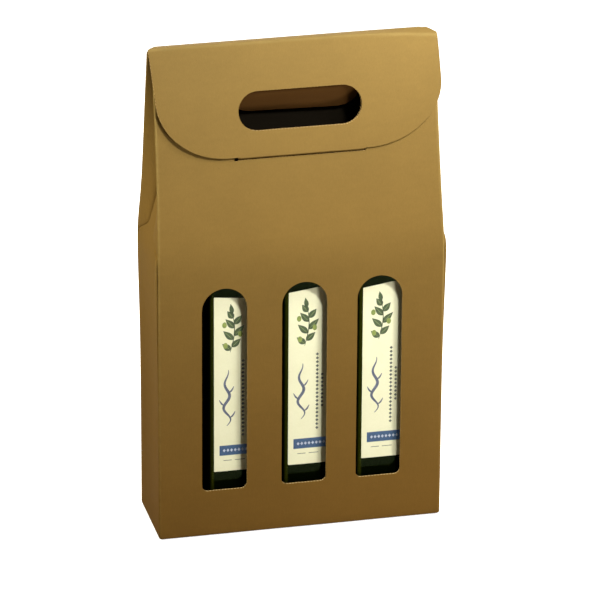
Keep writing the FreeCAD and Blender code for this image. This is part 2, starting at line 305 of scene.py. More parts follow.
def kraft(name, tone, flutes=0.05):
    """Brown liner: mottled tone, short fibres, a few specks, a faint print of the flutes, folds
    paled partly by wear and partly by a painted highlight, and painted light that is darker
    towards the bottom and lighter towards the top.
    """
    mat, tree, shader = nodes_of(name)
    coord = object_coord(tree)
    cloud = noise(tree, coord, 14.0, 4.0, 0.6)
    wisp = noise(tree, stretch(tree, coord, (70.0, 70.0, 260.0)), 1.0, 3.0, 0.6, 0.6)
    fibre_coord = stretch(tree, coord, (1900.0, 1900.0, 260.0), (0.3, 0.0, 0.0))
    fibre = noise(tree, fibre_coord, 1.0, 2.0, 0.6, 1.2)
    fleck = noise(tree, stretch(tree, coord, (420.0, 420.0, 760.0)), 1.0, 1.0, 0.5, 0.8)
    light = scaled(tone, 1.07)
    dark = scaled(tone, 0.93)
    base = ramp(tree, cloud, [(0.30, dark), (0.70, light)])
    base = mix(tree, 0.25, base, ramp(tree, wisp, [(0.35, dark), (0.65, light)]))
    fibres = ramp(tree, fibre, [(0.40, scaled(tone, 0.45)), (0.62, scaled(tone, 1.7))])
    base = mix(tree, 0.07, base, fibres)
    speck = ramp(tree, fleck, [(0.73, (0.0, 0.0, 0.0)), (0.79, (1.0, 1.0, 1.0))])
    base = mix(tree, math_node(tree, "MULTIPLY", speck, 0.16), base, scaled(tone, 0.4))
    # Paler along the folds: partly wear, partly a painted highlight where the folds catch the
    # light.
    wear_and_highlight = tree.nodes.new("ShaderNodeAttribute")
    wear_and_highlight.attribute_name = "wear_and_highlight"
    patchy = math_node(tree, "ADD", 0.15, math_node(tree, "MULTIPLY", wisp, 0.55))
    worn_and_highlit = math_node(tree, "MULTIPLY", wear_and_highlight.outputs["Fac"], patchy)
    base = mix(tree, worn_and_highlit, base, scaled(tone, 1.6, 1.9, 2.4))
    place = axes(tree, coord)
    level = math_node(tree, "DIVIDE", place["Z"], RIDGE * MM)
    # Painted light and shade by height: darker and warmer towards the bottom, lighter and bluer
    # towards the top, as the light falls on the carton.
    painted_height_light = [(0.0, (0.84, 0.70, 0.53)), (0.55, (0.98, 0.95, 0.90)), (1.0, (1.0, 1.05, 1.20))]
    base = mix(tree, 1.0, base, ramp(tree, level, painted_height_light), "MULTIPLY")
    tree.links.new(base, shader.inputs["Base Color"])
    rough = math_node(tree, "ADD", 0.72, math_node(tree, "MULTIPLY", cloud, 0.14))
    tree.links.new(rough, shader.inputs["Roughness"])
    shader.inputs["Specular IOR Level"].default_value = 0.03
    wave = flute_wave(tree, place["X"], FLUTE_PITCH)
    grain = noise(tree, coord, 800.0, 3.0, 0.6)
    relief = math_node(tree, "ADD", math_node(tree, "MULTIPLY", wave, flutes), grain)
    relief = math_node(tree, "ADD", relief, math_node(tree, "MULTIPLY", fibre, 0.4))
    soft = bump(tree, cloud, 0.10, 0.004)
    tree.links.new(bump(tree, relief, 0.12, 0.00010, soft), shader.inputs["Normal"])
    return mat


def cut_edge(name):
    """Raw edge of the board: two pale liners with the fluted paper between them."""
    mat, tree, shader = nodes_of(name)
    coord = object_coord(tree)
    place = axes(tree, coord)
    along = math_node(tree, "ADD", place["X"], place["Z"])
    wave = flute_wave(tree, along, EDGE_PITCH)
    fuzz = noise(tree, coord, 1500.0, 3.0, 0.6)
    fac = math_node(tree, "ADD", math_node(tree, "MULTIPLY", wave, 0.22), fuzz)
    base = ramp(tree, fac, [(0.30, (0.21, 0.125, 0.044)), (0.62, (0.56, 0.39, 0.17))])
    tree.links.new(base, shader.inputs["Base Color"])
    shader.inputs["Roughness"].default_value = 0.9
    shader.inputs["Specular IOR Level"].default_value = 0.15
    tree.links.new(bump(tree, fac, 0.6, 0.0002), shader.inputs["Normal"])
    return mat


def dark_glass(name):
    """Nearly black green glass, with a painted olive glow where its upright edges turn to the
    side, for the light that shows through the bottle's corners.
    """
    mat, tree, shader = nodes_of(name)
    coord = object_coord(tree)
    swirl = noise(tree, coord, 30.0, 3.0, 0.5)
    base = ramp(tree, swirl, [(0.3, (0.0035, 0.007, 0.001)), (0.7, (0.006, 0.011, 0.0015))])
    # Painted light: olive where the surface turns sideways, for light coming through the bottle's
    # corners.
    normal = axes(tree, tree.nodes.new("ShaderNodeNewGeometry").outputs["Normal"])
    turned = math_node(tree, "ABSOLUTE", normal["X"])
    black, white = (0.0, 0.0, 0.0), (1.0, 1.0, 1.0)
    corner = ramp(tree, turned, [(0.10, black), (0.35, white), (0.60, white), (0.85, black)])
    base = mix(tree, corner, base, (0.090, 0.105, 0.006))
    tree.links.new(base, shader.inputs["Base Color"])
    smear = math_node(tree, "MULTIPLY", noise(tree, coord, 120.0), 0.05)
    rough = math_node(tree, "ADD", 0.03, smear)
    tree.links.new(rough, shader.inputs["Roughness"])
    shader.inputs["IOR"].default_value = 1.5
    shader.inputs["Transmission Weight"].default_value = 0.72
    shader.inputs["Specular IOR Level"].default_value = 0.15
    shader.inputs["Specular Tint"].default_value = (0.06, 0.10, 0.03, 1.0)
    tree.links.new(bump(tree, swirl, 0.10, 0.002), shader.inputs["Normal"])
    return mat


def plain(name, low, high, scale, rough, bump_scale=None, bump_strength=0.2, metallic=0.0):
    """Even material between two tones, with an optional fine grain."""
    mat, tree, shader = nodes_of(name)
    coord = object_coord(tree)
    cloud = noise(tree, coord, scale, 3.0, 0.55)
    tree.links.new(ramp(tree, cloud, [(0.3, low), (0.7, high)]), shader.inputs["Base Color"])
    value = math_node(tree, "ADD", rough, math_node(tree, "MULTIPLY", cloud, 0.12))
    tree.links.new(value, shader.inputs["Roughness"])
    shader.inputs["Metallic"].default_value = metallic
    if bump_scale:
        fine = noise(tree, coord, bump_scale, 3.0, 0.6)
        tree.links.new(bump(tree, fine, bump_strength, 0.0002), shader.inputs["Normal"])
    return mat


def label_print(name, low, high, scale=300.0, rough=0.6):
    return plain(name, low, high, scale, rough, 700.0, 0.12)


def label_stock(name):
    """Cream paper with a fine tooth."""
    mat, tree, shader = nodes_of(name)
    coord = object_coord(tree)
    tooth = noise(tree, coord, 700.0, 3.0, 0.6)
    cloud = noise(tree, coord, 60.0, 3.0, 0.6)
    cream = ramp(tree, cloud, [(0.3, (0.89, 0.89, 0.63)), (0.7, (0.93, 0.93, 0.68))])
    speckle = ramp(tree, tooth, [(0.35, (0.76, 0.76, 0.54)), (0.65, (0.95, 0.95, 0.74))])
    tree.links.new(mix(tree, 0.12, cream, speckle), shader.inputs["Base Color"])
    shader.inputs["Roughness"].default_value = 0.62
    shader.inputs["Specular IOR Level"].default_value = 0.06
    tree.links.new(bump(tree, tooth, 0.15, 0.0001), shader.inputs["Normal"])
    return mat


KRAFT = kraft("kraft_card", (0.206, 0.128, 0.0350))
# Inside of the carton and the divider: near-black painted shade, far darker than the card, for the
# shade inside the closed box.
KRAFT_PAINTED_SHADE_INSIDE = kraft("kraft_card_inside_painted_shade", (0.008, 0.006, 0.0035), 0.12)
KRAFT_BACK = kraft("kraft_card_back", (0.200, 0.115, 0.035), 0.12)
# Carry tab: the same card, with painted shade that makes it darker and redder, for the tab hanging
# in shade inside the hole.
KRAFT_TAB_PAINTED_SHADE = kraft("kraft_card_tab_painted_shade", (0.112, 0.050, 0.0125))
EDGE = cut_edge("card_cut_edge")
GLASS = dark_glass("dark_green_glass")
PAPER = label_stock("label_paper_cream")
BAND = label_print("label_print_blue", (0.016, 0.052, 0.130), (0.026, 0.074, 0.170), 200.0, 0.5)
LEAF = label_print("label_print_leaf", (0.030, 0.055, 0.022), (0.070, 0.105, 0.040), 420.0)
BUD = label_print("label_print_bud", (0.17, 0.23, 0.05), (0.30, 0.37, 0.09))
INK = label_print("label_print_grey", (0.07, 0.085, 0.07), (0.13, 0.15, 0.12))
SLATE = label_print("label_print_slate", (0.07, 0.09, 0.14), (0.13, 0.15, 0.22))
PALE = label_print("label_print_pale", (0.45, 0.50, 0.62), (0.55, 0.60, 0.70))
VEIN = label_print("label_print_vein", (0.20, 0.26, 0.10), (0.28, 0.34, 0.15))
OIL = plain("olive_oil", (0.055, 0.045, 0.005), (0.080, 0.065, 0.007), 20.0, 0.1)
CAP = plain("cap_metal", (0.05, 0.06, 0.04), (0.08, 0.09, 0.06), 80.0, 0.3, 900.0, 0.1, 0.6)
SEAL = plain("seal_film", (0.03, 0.045, 0.02), (0.05, 0.07, 0.035), 60.0, 0.35, 500.0, 0.3)
SPOUT = plain("pourer_plastic", (0.70, 0.70, 0.66), (0.80, 0.80, 0.76), 50.0, 0.45, 600.0, 0.1)


# Mesh helpers


def link_mesh(name, verts, faces, mats):
    """New object from points in millimetres."""
    mesh = bpy.data.meshes.new(name)
    mesh.from_pydata([Vector(v) * MM for v in verts], [], faces)
    for mat in mats:
        mesh.materials.append(mat)
    obj = bpy.data.objects.new(name, mesh)
    bpy.context.scene.collection.objects.link(obj)
    return obj


def piece(name, verts, faces, mats, indices=None, body="carton", sharp=32.0):
    obj = link_mesh(name, verts, faces, mats)
    if indices:
        obj.data.polygons.foreach_set("material_index", indices)
    finish_mesh(obj, sharp)
    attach(obj, body)
    return obj


def finish_mesh(obj, sharp):
    """Merge double points, turn the faces outward and shade smooth below the sharp angle."""
    bm = bmesh.new()
    bm.from_mesh(obj.data)
    bmesh.ops.remove_doubles(bm, verts=bm.verts, dist=0.00002)
    bmesh.ops.recalc_face_normals(bm, faces=bm.faces)
    limit = math.radians(sharp)
    for face in bm.faces:
        face.smooth = True
    for edge in bm.edges:
        edge.smooth = len(edge.link_faces) == 2 and edge.calc_face_angle(0.0) < limit
    bm.to_mesh(obj.data)
    bm.free()


def set_wear_and_highlight(mesh, value_at):
    """Point attribute that lightens the card where it is folded: partly wear, partly a painted
    highlight.
    """
    layer = mesh.attributes.new("wear_and_highlight", "FLOAT", "POINT")
    values = [value_at(v.co.x / MM, v.co.y / MM, v.co.z / MM) for v in mesh.vertices]
    layer.data.foreach_set("value", values)


def loops_mesh(loops, steps):
    """Triangles over flat outlines with holes, with extra points on a grid for bending."""
    verts = []
    edges = []
    for loop in loops:
        base = len(verts)
        verts.extend(Vector(p) for p in loop)
        n = len(loop)
        edges.extend((base + i, base + (i + 1) % n) for i in range(n))
    verts.extend(grid_points(loops, steps))
    got = delaunay_2d_cdt(verts, edges, [], 1, 1e-5)
    flat = [tuple(v) for v in got[0]]
    kept = []
    for face in got[2]:
        middle = (sum(flat[i][0] for i in face) / 3.0, sum(flat[i][1] for i in face) / 3.0)
        if inside(loops[0], middle) and not any(inside(hole, middle) for hole in loops[1:]):
            kept.append(tuple(face))
    used = sorted({i for face in kept for i in face})
    order = {old: new for new, old in enumerate(used)}
    return [flat[i] for i in used], [tuple(order[i] for i in face) for face in kept]


def grid_points(loops, steps):
    """Points on a grid inside the outer loop that keep clear of all the outlines."""
    xs = [p[0] for p in loops[0]]
    ys = [p[1] for p in loops[0]]
    nx = max(1, int((max(xs) - min(xs)) / steps[0]))
    ny = max(1, int((max(ys) - min(ys)) / steps[1]))
    clear = 0.3 * min(steps)
    points = []
    for i in range(nx + 1):
        for j in range(ny + 1):
            p = Vector((lerp(min(xs), max(xs), i / nx), lerp(min(ys), max(ys), j / ny)))
            if all(edge_distance(loop, p) > clear for loop in loops) and inside(loops[0], p):
                points.append(p)
    return points


def inside(loop, p):
    """Whether a point lies inside an outline."""
    hit = False
    n = len(loop)
    for i in range(n):
        ax, ay = loop[i][0], loop[i][1]
        bx, by = loop[(i + 1) % n][0], loop[(i + 1) % n][1]
        if (ay > p[1]) != (by > p[1]) and p[0] < (bx - ax) * (p[1] - ay) / (by - ay) + ax:
            hit = not hit
    return hit


def edge_distance(loop, p):
    """Distance from a point to an outline."""
    best = 1e9
    n = len(loop)
    for i in range(n):
        ax, ay = loop[i][0], loop[i][1]
        bx, by = loop[(i + 1) % n][0], loop[(i + 1) % n][1]
        dx, dy = bx - ax, by - ay
        length = dx * dx + dy * dy
        t = 0.0
        if length > 0.0:
            t = max(0.0, min(1.0, ((p[0] - ax) * dx + (p[1] - ay) * dy) / length))
        best = min(best, math.hypot(p[0] - ax - t * dx, p[1] - ay - t * dy))
    return best


def shell(flat, tris, place, thickness):
    """A flat mesh placed in space and given a thickness: points, faces and a part for each face.

    The parts are 0 for the face, 1 for the back and 2 for the cut edge.
    """
    n = len(flat)
    verts = [place(u, v, w) for w in (0.0, thickness) for u, v in flat]
    edges = dict.fromkeys((tri[i], tri[(i + 1) % 3]) for tri in tris for i in range(3))
    rim = [(b, a, a + n, b + n) for a, b in edges if (b, a) not in edges]
    back = [tuple(i + n for i in reversed(tri)) for tri in tris]
    return verts, tris + back + rim, [0] * len(tris) + [1] * len(back) + [2] * len(rim)


def sheet(name, loops, steps, place, thickness, mats, body="carton", sharp=32.0):
    """Card or paper: flat outlines placed in space by place(u, v, w), w the depth in it.

    The three materials are for the face, the back and the cut edge.
    """
    verts, faces, parts = shell(*loops_mesh(loops, steps), place, thickness)
    return piece(name, verts, faces, mats, parts, body, sharp)


def solid_from_rings(rings):
    """Closed mesh through rings of equal point count, capped at both ends."""
    n = len(rings[0])
    verts = [p for ring in rings for p in ring]
    faces = []
    for k in range(len(rings) - 1):
        for i in range(n):
            j = (i + 1) % n
            faces.append((k * n + i, k * n + j, (k + 1) * n + j, (k + 1) * n + i))
    faces.append(tuple(reversed(range(n))))
    top = (len(rings) - 1) * n
    faces.append(tuple(range(top, top + n)))
    return verts, faces


def prism(outline, place, low, high):
    """Closed mesh from a flat outline pushed along w from low to high."""
    rings = [[place(u, v, w) for u, v in outline] for w in (low, high)]
    return solid_from_rings(rings)


def tool(name, verts, faces, mat):
    """Closed mesh for a boolean."""
    obj = link_mesh(name, verts, faces, [mat])
    bm = bmesh.new()
    bm.from_mesh(obj.data)
    bmesh.ops.remove_doubles(bm, verts=bm.verts, dist=0.00001)
    bmesh.ops.recalc_face_normals(bm, faces=bm.faces)
    bm.to_mesh(obj.data)
    bm.free()
    return obj


def cut(target, cutters):
    """Take each cutter out of the target, then delete the cutter."""
    for cutter in cutters:
        mod = target.modifiers.new("cut", "BOOLEAN")
        mod.operation = "DIFFERENCE"
        mod.solver = "EXACT"
        mod.material_mode = "TRANSFER"
        mod.object = cutter
        bpy.context.view_layer.update()
        graph = bpy.context.evaluated_depsgraph_get()
        mesh = bpy.data.meshes.new_from_object(target.evaluated_get(graph))
        target.modifiers.clear()
        old = target.data
        target.data = mesh
        bpy.data.meshes.remove(old)
        data = cutter.data
        bpy.data.objects.remove(cutter)
        bpy.data.meshes.remove(data)


def refine(loop, step):
    """Outline with points no more than about a step apart."""
    out = []
    n = len(loop)
    for i in range(n):
        a, b = loop[i], loop[(i + 1) % n]
        k = max(1, int(math.hypot(b[0] - a[0], b[1] - a[1]) / step))
        for j in range(k):
            out.append((lerp(a[0], b[0], j / k), lerp(a[1], b[1], j / k)))
    return out


def arc_points(cx, cy, rx, ry, a0, a1, n):
    """Points of an ellipse's arc from angle a0 to a1, both ends included."""
    return [(cx + rx * math.cos(lerp(a0, a1, i / n)), cy + ry * math.sin(lerp(a0, a1, i / n)))
            for i in range(n + 1)]


# Carton shapes


def half_depth(z):
    """Outer half depth of the carton at height z, with a soft bend at the shoulder."""
    start = SHOULDER - BEND_RADIUS * math.tan(LEAN / 2.0)
    end = start + BEND_RADIUS * math.sin(LEAN)
    if z <= start:
        return HALF_DEPTH
    if z < end:
        return HALF_DEPTH - BEND_RADIUS + math.sqrt(BEND_RADIUS ** 2 - (z - start) ** 2)
    return HALF_DEPTH + (RIDGE_HALF - HALF_DEPTH) * (z - SHOULDER) / (RIDGE - SHOULDER)


def shoulder_give(z):
    """Outward give of the side panel and its back edge around the shoulder."""
    run = GIVE_RUN_BELOW if z < SHOULDER else GIVE_RUN_ABOVE
    return SHOULDER_GIVE * math.exp(-((z - SHOULDER) / run) ** 2)


def side_x(z):
    """Distance of the side panel from the middle, leaning in above the shoulder."""
    start = SHOULDER - SIDE_BEND_RADIUS * math.tan(SIDE_LEAN / 2.0)
    end = start + SIDE_BEND_RADIUS * math.sin(SIDE_LEAN)
    edge = HALF + shoulder_give(z)
    if z <= start:
        return edge
    if z < end:
        return edge - SIDE_BEND_RADIUS + math.sqrt(SIDE_BEND_RADIUS ** 2 - (z - start) ** 2)
    return edge - (z - SHOULDER) * math.tan(SIDE_LEAN)


def front_edge(z, side):
    """Distance of a front fold from the middle; the gable draws in a little above the shoulder."""
    draw = DRAW_RIGHT if side > 0 else DRAW_LEFT
    return HALF - draw * (1.0 - math.exp(-max(0.0, z - SHOULDER) / DRAW_RUN))


def fold_radius(z):
    """Radius of the upright folds, a little tighter above the shoulder."""
    return lerp(FOLD_RADIUS, CARD + 0.05, smooth((z - SHOULDER + 4.0) / 26.0))


def face_bow(x, z):
    """Small inward and outward give of the wide panels, positive outward."""
    across = math.cos(math.pi * x / WIDTH)
    if z < SHOULDER:
        bow = BOX_BOW * across * math.sin(math.pi * (z / SHOULDER))
    else:
        bow = GABLE_BOW * across * math.sin(math.pi * (z - SHOULDER) / (RIDGE - SHOULDER))
    return bow + RIPPLE * math.sin(x * RIPPLE_X + z * RIPPLE_Z) * across


def side_half(edge, z):
    """Points from a wide panel's fold to the middle of the side panel, for the front of +x."""
    hd = half_depth(z)
    sx = side_x(z)
    r = fold_radius(z)
    run = edge - r - sx
    turn = math.pi / 2.0
    if run >= 0.05:
        turn = math.pi - math.atan2(2.0 * FLANK_FILL * (hd - r), run)
    pts = []
    for i in range(1, FOLD_STEPS + 1):
        a = -math.pi / 2.0 + turn * i / FOLD_STEPS
        pts.append((edge - r + r * math.cos(a), -hd + r + r * math.sin(a)))
    ex, ey = pts[-1]
    lean = smooth((z - SHOULDER) / FLANK_RISE)
    end = ey * (1.0 - FLANK_FILL * lean)
    for i in range(1, FLANK_STEPS + 1):
        t = i / FLANK_STEPS
        pts.append((lerp(ex, sx, t), lerp(ey, end, 1.0 - (1.0 - t) ** 2)))
    dent = SIDE_DENT * math.sin(math.pi * (z / SHOULDER)) if z < SHOULDER else 0.0
    for i in range(1, SIDE_STEPS + 1):
        t = i / (2 * SIDE_STEPS)
        pts.append((sx + dent * math.sin(math.pi * t), lerp(end, -end, t)))
    return pts


def ridge_dip(x, y, z):
    """How far the top of the card is pressed down under the flap's slanting strip."""
    (by, bz), (fy, fz) = strip_ends(x)
    t = min(1.0, max(0.0, (by - y) / (by - fy)))
    end_drop = END_DROP_RIGHT if x > 0.0 else END_DROP_LEFT
    past = max(0.0, (abs(x) - (HALF - RIDGE_END)) / RIDGE_END)
    thick = CARD * math.hypot(by - fy, bz - fz) / (by - fy)
    under = lerp(bz, fz, t) - thick - DIP_GAP - end_drop * past ** 2
    return max(0.0, RIDGE - under) * max(0.0, z - DIP_START) / (RIDGE - DIP_START)


def outer_ring(z):
    """Outline of the folded card at height z, as points anticlockwise from the front left."""
    hd = half_depth(z)
    r = fold_radius(z)
    inset = 0.0
    if z < FOOT_RADIUS:
        inset = FOOT_RADIUS - math.sqrt(max(0.0, FOOT_RADIUS ** 2 - (FOOT_RADIUS - z) ** 2))
    left_edge = front_edge(z, -1)
    right_edge = front_edge(z, 1)
    rear_edge = HALF + shoulder_give(z)
    back_half = [(x, -y) for x, y in reversed(side_half(rear_edge, z)[:-1])]
    right = side_half(right_edge, z) + back_half
    left = [(-x, y) for x, y in reversed(side_half(left_edge, z) + back_half)]
    front = []
    rear = []
    for share in PANEL_SHARES:
        x = lerp(-left_edge + r, right_edge - r, share)
        front.append((x, -hd - face_bow(x, z)))
        x = lerp(rear_edge - r, -rear_edge + r, share)
        rear.append((x, hd + REAR_BOW_SHARE * face_bow(x, z)))
    out = []
    for x, y in front + right + rear + left:
        in_x = x - math.copysign(min(inset, abs(x)), x)
        in_y = y - math.copysign(min(inset, abs(y)), y)
        out.append((in_x, in_y, z - ridge_dip(x, y, z)))
    return out


def inner_ring(z):
    """Outline of the hollow at height z, as points anticlockwise from the front left."""
    hd = half_depth(z) - CARD
    sx = side_x(z) - CARD
    wide = [lerp(-sx, sx, i / 40) for i in range(40)]
    deep = [lerp(-hd, hd, i / 8) for i in range(8)]
    pts = [(x, -hd - face_bow(x, z), z) for x in wide]
    pts += [(sx, y, z) for y in deep]
    pts += [(-x, hd + REAR_BOW_SHARE * face_bow(-x, z), z) for x in wide]
    pts += [(-sx, -y, z) for y in deep]
    return pts


def heights():
    """Heights of the carton's rings, closer together at the foot and around the shoulder."""
    zs = [0.0, 0.35, 0.9, 1.5, FOOT_RADIUS]
    z = 8.0
    while z < RIDGE - 3.0:
        zs.append(z)
        z += 2.5 if 226.0 < z < 276.0 else 6.0
    return zs + [RIDGE]


def on_front(u, v, w):
    """Front panel coordinates: u along it, v the height, w out of it."""
    return (u, -HALF_DEPTH - w, v)


def on_base(u, v, w):
    return (u, v, w)


def on_gable(u, v, w):
    """Front gable coordinates: u along the ridge, v up from the ridge line, w out of the panel."""
    y = -RIDGE_HALF + v * math.sin(LEAN) - w * math.cos(LEAN)
    z = RIDGE + v * math.cos(LEAN) + w * math.sin(LEAN)
    return (u, y, z)


def on_back_gable(u, v, w):
    x, y, z = on_gable(u, v, w)
    return (x, -y, z)


def window_loop(cx):
    """Tall window with a round arch and small rounded lower corners."""
    r = WINDOW_W / 2.0
    c = WINDOW_R
    spring = WINDOW_SILL + WINDOW_H - r
    pts = arc_points(cx + r - c, WINDOW_SILL + c, c, c, -math.pi / 2.0, 0.0, 8)
    pts += arc_points(cx, spring, r, r, 0.0, math.pi, 36)
    pts += arc_points(cx - r + c, WINDOW_SILL + c, c, c, math.pi, 1.5 * math.pi, 8)
    return pts


def hole_loop(smaller=0.0):
    """Carry hole with half round ends, or a loop within it that is smaller by this much."""
    r = (HOLE_H - smaller) / 2.0
    reach = (HOLE_W - smaller) / 2.0 - r
    pts = arc_points(HOLE_X + reach, HOLE_Y, r, r, -math.pi / 2.0, math.pi / 2.0, 20)
    pts += arc_points(HOLE_X - reach, HOLE_Y, r, r, math.pi / 2.0, 1.5 * math.pi, 20)
    return pts


def slit_loops():
    """Tuck slit for the tongue, and the small notch where the card gives at its left end."""
    reach = TONGUE_W / 2.0 + SLIT_SPARE
    left, right = HOLE_X - reach, HOLE_X + reach
    low, high = -FLAP_LENGTH - SLIT_BELOW, -FLAP_LENGTH + SLIT_ABOVE
    slit = [(left, low), (right, low), (right, high), (left, high)]
    notch = arc_points(left - 0.6, -FLAP_LENGTH - 0.3, 1.7, 1.5, 0.0, 2.0 * math.pi, 16)[:-1]
    return [slit, notch]


def ring_cutter():
    """Narrow groove in the back gable around the carry hole that stays closed there."""
    outer = hole_loop()
    inner = hole_loop(HOLE_GROOVE)
    n = len(outer)
    verts = [on_back_gable(u, v, w) for w in (-HOLE_GROOVE_DEPTH, 3.0)
             for loop in (outer, inner) for u, v in loop]
    faces = []
    for i in range(n):
        j = (i + 1) % n
        faces.append((i, j, n + j, n + i))
        faces.append((2 * n + i, 3 * n + i, 3 * n + j, 2 * n + j))
        faces.append((i, 2 * n + i, 2 * n + j, j))
        faces.append((n + i, n + j, 3 * n + j, 3 * n + i))
    return tool("cut_ring", verts, faces, EDGE)


def seam_cutters():
    """Shallow grooves where the base flaps meet: one along the base and four to its corners."""
    inner = HALF - HALF_DEPTH
    runs = [((-inner, 0.0), (inner, 0.0))]
    for s in (-1, 1):
        for t in (-1, 1):
            runs.append(((s * inner, 0.0), (s * (HALF - 1.0), t * (HALF_DEPTH - 1.0))))
    cutters = []
    for (x0, y0), (x1, y1) in runs:
        length = math.hypot(x1 - x0, y1 - y0)
        wx, wy = -(y1 - y0) / length * SEAM_HALF, (x1 - x0) / length * SEAM_HALF
        strip = [(x0 - wx, y0 - wy), (x1 - wx, y1 - wy), (x1 + wx, y1 + wy), (x0 + wx, y0 + wy)]
        cutters.append(tool("cut_seam", *prism(strip, on_base, -1.0, SEAM_DEPTH), EDGE))
    return cutters


def through(outline, place):
    """Cutter right through one panel."""
    return tool("cut_through", *prism(outline, place, -CUT_REACH, CUT_REACH), EDGE)


def card_wear_and_highlight(x, y, z):
    """Worn and pale along the upright folds, where a highlight is painted too, and less so at the
    foot.
    """
    edge = front_edge(z, x) if y < 0.0 else HALF + shoulder_give(z)
    away = math.hypot(max(0.0, edge - abs(x)), max(0.0, half_depth(z) - abs(y)))
    corner = 1.0 - smooth((away - 0.7) / 1.5)
    foot = 1.0 - smooth((z - 0.6) / 1.8)
    return min(1.0, max(corner, 0.6 * foot))


def make_carton():
    body = tool("carton_card", *solid_from_rings([outer_ring(z) for z in heights()]), KRAFT)
    inner_z = [2.0 * CARD] + [z for z in heights() if 6.0 < z < RIDGE] + [RIDGE + 2.0]
    hollow = solid_from_rings([inner_ring(z) for z in inner_z])
    # The hollow's faces take the near-black painted shade of the inside.
    cutters = [tool("cut_inside", *hollow, KRAFT_PAINTED_SHADE_INSIDE)]
    cutters += [through(window_loop(cx), on_front) for cx in WINDOW_X]
    cutters += [through(loop, on_gable) for loop in [hole_loop()] + slit_loops()]
    cutters.append(ring_cutter())
    cutters += seam_cutters()
    cut(body, cutters)
    finish_mesh(body, 38.0)
    set_wear_and_highlight(body.data, card_wear_and_highlight)
    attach(body, "carton")
    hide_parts("carton")


# Carry tab


def tab_place(u, v, w):
    """The tab swings in about the hole's upper edge, a little more towards its lower edge."""
    drop = -HOLE_DROP - v
    reach = drop / HOLE_H
    twist = TAB_TWIST * reach * (u - HOLE_X) / HOLE_W
    bend = TAB_ANGLE * (0.94 + 0.08 * smooth(reach / 0.5)) - twist
    dv, dw = -drop * math.cos(bend), -drop * math.sin(bend)
    nv, nw = w * math.sin(bend), -w * math.cos(bend)
    return on_gable(u, -HOLE_DROP - 0.25 + dv + nv, dw + nw - 0.15)


def make_tab():
    """The card pressed in from the carry hole, hanging from the hole's upper edge."""
    # The tab's face takes the darker painted-shade copy of the card.
    mats = [KRAFT_TAB_PAINTED_SHADE, KRAFT_BACK, EDGE]
    tab = sheet("carry_tab", [hole_loop(TAB_SPARE)], (5.0, 4.0), tab_place, CARD, mats)


# Lid: on its flat outline v is minus the distance down the gable panel from the ridge line


def flap_corner(side):
    """Rounded lower corner of the flap, from its straight side to its free edge."""
    out, width = FLAP_SIDES[side][1:]
    start = FREE_EDGE - CORNER_H
    k = BEZIER_ROUND
    p = [(side * out, -start), (side * out, -start - k * CORNER_H),
         (side * (out - (1.0 - k) * width), -FREE_EDGE), (side * (out - width), -FREE_EDGE)]
    pts = []
    for i in range(29):
        t = i / 28.0
        b = [(1 - t) ** 3, 3 * t * (1 - t) ** 2, 3 * t * t * (1 - t), t ** 3]
        pts.append((sum(b[j] * p[j][0] for j in range(4)), sum(b[j] * p[j][1] for j in range(4))))
    return pts


def flap_loop():
    """Flat outline of the flap: strip, plate with two rounded corners, and tongue."""
    back = STRIP - FOLD_DROP
    top_left, top_right = FLAP_SIDES[-1][0], FLAP_SIDES[1][0]
    left, right = HOLE_X - TONGUE_W / 2.0, HOLE_X + TONGUE_W / 2.0
    end = -FLAP_LENGTH - TONGUE_L
    pts = [(-top_left + CORNER_CUT, back), (-top_left, -FOLD_DROP)]
    pts += flap_corner(-1)
    pts += [(left, -FREE_EDGE), (left + 1.5, end + 2.0), (left + 4.0, end)]
    pts += [(right - 4.0, end), (right - 1.5, end + 2.0), (right, -FREE_EDGE)]
    pts += reversed(flap_corner(1))
    pts += [(top_right, -FOLD_DROP), (top_right - CORNER_CUT, back)]
    return pts


def plate_point(drop, lift=0.0):
    """Point y, z of the flap's outer face, a distance down the gable panel from the ridge line."""
    off = PLATE + lift
    return (-RIDGE_HALF - drop * math.sin(LEAN) - off * math.cos(LEAN),
            RIDGE - drop * math.cos(LEAN) + off * math.sin(LEAN))


STRIP = HINGE_Y - plate_point(FOLD_DROP)[0]


def fold_sag(x):
    """The flap's front fold runs lower and further forward towards its right end."""
    return SAG * max(0.0, (x - SAG_START) / SAG_RUN) ** 2


def strip_ends(x):
    """Back edge and front fold of the strip that lies on the ridge."""
    t = min(1.0, max(0.0, x / FLAP_TOP + 0.5))
    fold = plate_point(FOLD_DROP + fold_sag(x))
    far_y = lerp(HINGE_Y - 1.0, HINGE_Y - 0.4, t)
    far_z = lerp(HINGE_Z + 0.3, HINGE_Z + 0.8, t)
    slope = math.atan2(far_z - fold[1], far_y - fold[0])
    back_y = CREASE_Y - CARD * math.sin(slope)
    return (back_y, far_z - (far_y - back_y) * math.tan(slope)), fold


def flap_lift(x, drop):
    """How far the plate stands off its rest plane: snug at the tongue, curling at the corners."""
    down = min(1.0, max(0.0, drop) / FLAP_LENGTH)
    left = smooth((-x - 30.0) / 85.0)
    right = smooth((x - 55.0) / 62.0)
    low = smooth((down - 0.2) / 0.8)
    belly = math.sin(math.pi * min(1.0, down / 0.85)) if down < 0.85 else 0.0
    middle = 0.35 * math.sin(math.pi * down) * (1.0 - left) * (1.0 - right)
    return left * (3.0 * low + 0.7 * belly) + right * (0.2 * low + 2.0 * belly) + middle


